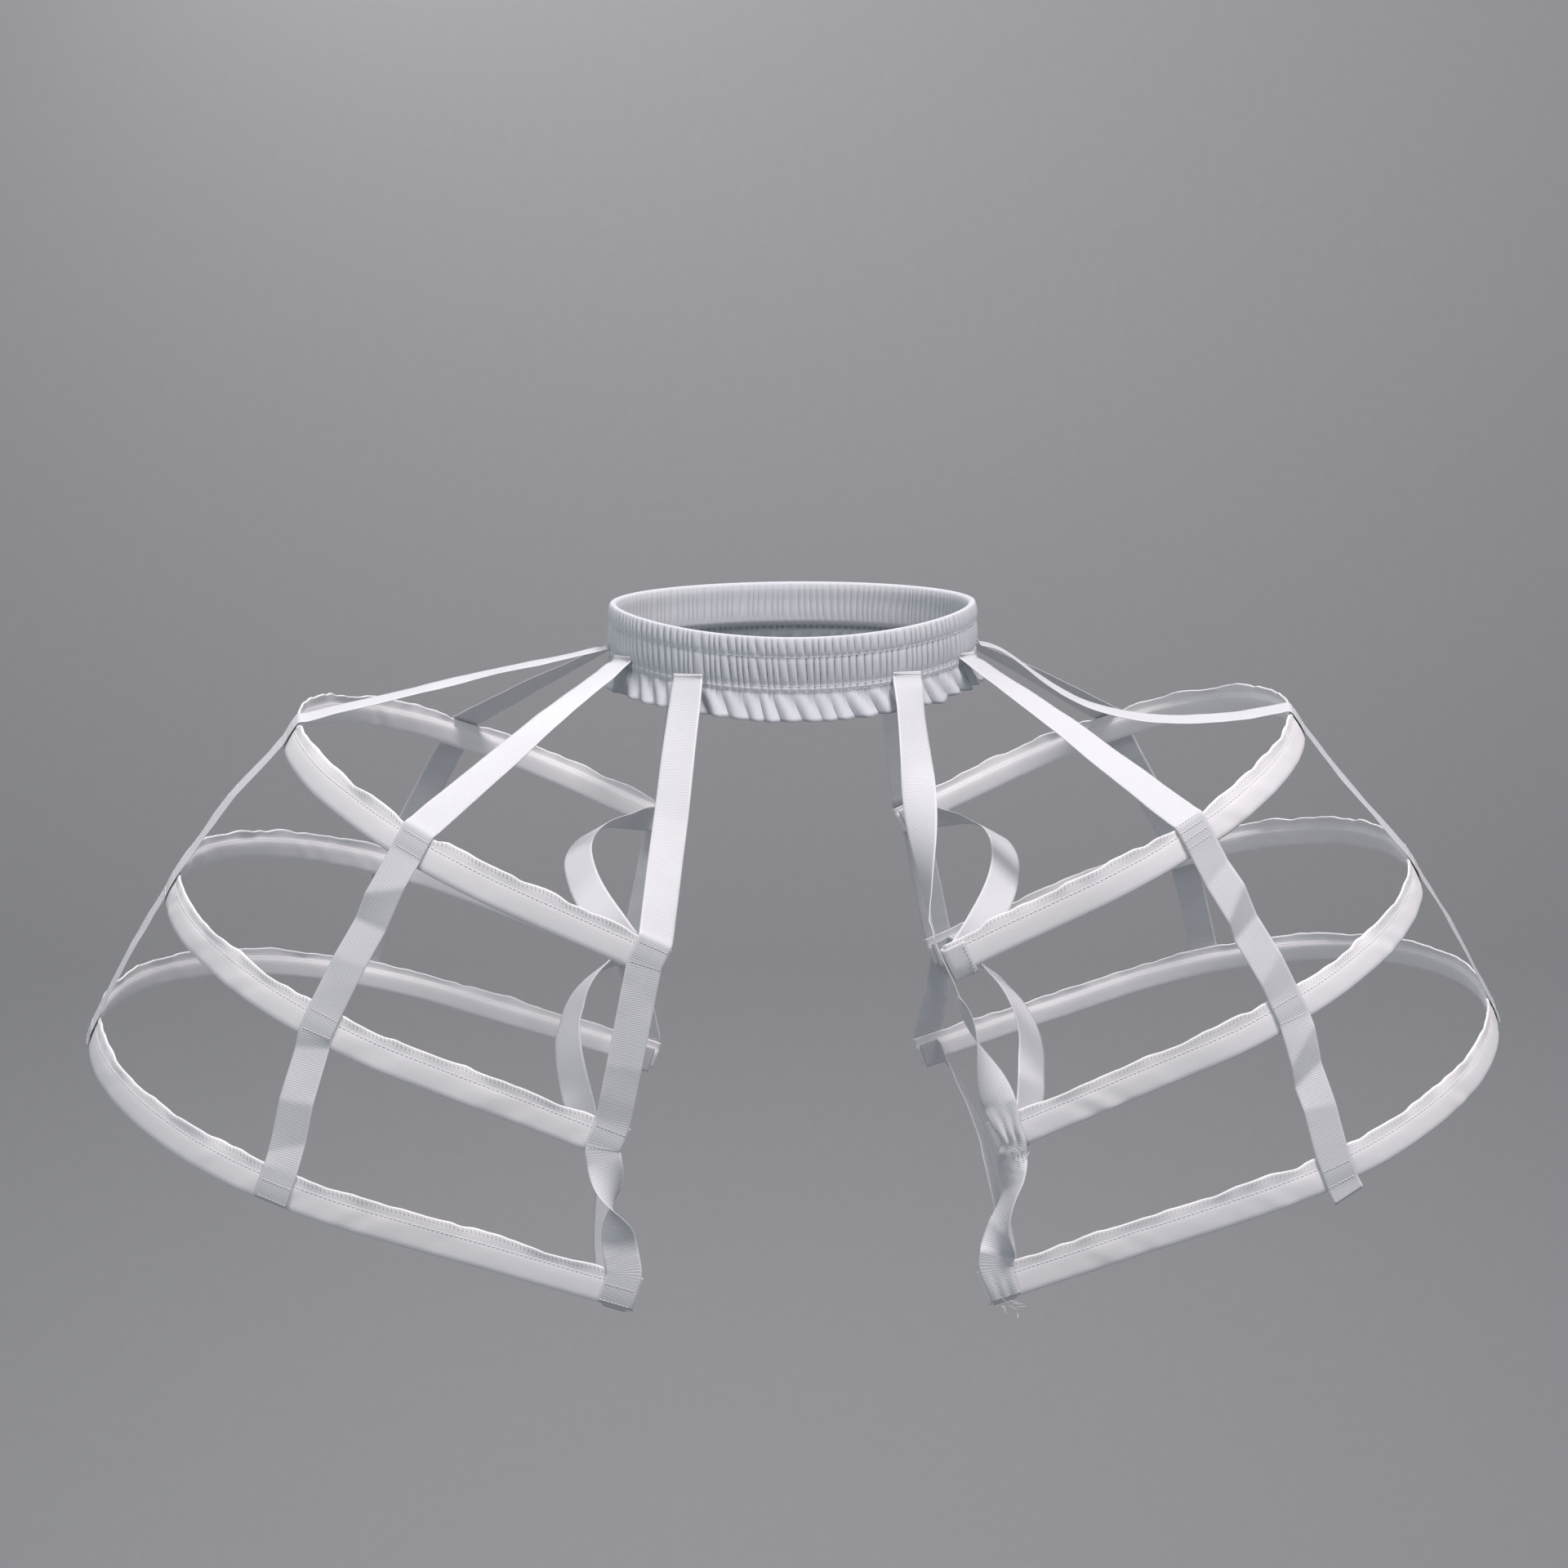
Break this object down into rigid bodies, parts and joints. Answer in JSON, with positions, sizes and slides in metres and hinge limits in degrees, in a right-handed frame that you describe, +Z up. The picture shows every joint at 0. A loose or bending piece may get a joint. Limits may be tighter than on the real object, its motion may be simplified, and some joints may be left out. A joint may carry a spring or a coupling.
{
  "type": "crinoline cage",
  "caption": "White open-front crinoline cage: gathered elastic waistband carrying two side cages of boned hoops in cloth casings, hung on grosgrain ribbons.",
  "frame": {"origin": "centre of the waist, level with the middle of the front of its gathered band", "axes": "+Z up, the open front faces -Y, +X to the right of someone who looks at the front"},
  "size_m": [0.891, 0.4094, 0.3735],
  "materials": {
    "gathered_cloth": "matte woven cotton blend",
    "elastic": "knitted elastic",
    "casing_cloth": "smooth satin-like cotton",
    "ribbon": "ribbed grosgrain",
    "bone": "matte"
  },
  "bodies": {
    "root": {"waistband": "gathered_cloth", "waist_elastic": "elastic", "left_upper_casing": "casing_cloth", "left_upper_bone": "bone", "left_upper_tie": "ribbon", "left_middle_casing": "casing_cloth", "left_middle_bone": "bone", "left_middle_tie": "ribbon", "left_lower_casing": "casing_cloth", "left_lower_bone": "bone", "left_lower_tie": "ribbon", "left_front_ribbon": "ribbon", "left_front_slant_ribbon": "ribbon", "left_side_ribbon": "ribbon", "left_back_slant_ribbon": "ribbon", "left_back_ribbon": "ribbon", "right_upper_casing": "casing_cloth", "right_upper_bone": "bone", "right_upper_tie": "ribbon", "right_middle_casing": "casing_cloth", "right_middle_bone": "bone", "right_middle_tie": "ribbon", "right_lower_casing": "casing_cloth", "right_lower_bone": "bone", "right_lower_tie": "ribbon", "right_front_ribbon": "ribbon", "right_front_slant_ribbon": "ribbon", "right_side_ribbon": "ribbon", "right_back_slant_ribbon": "ribbon", "right_back_ribbon": "ribbon"}
  },
  "joints": []
}
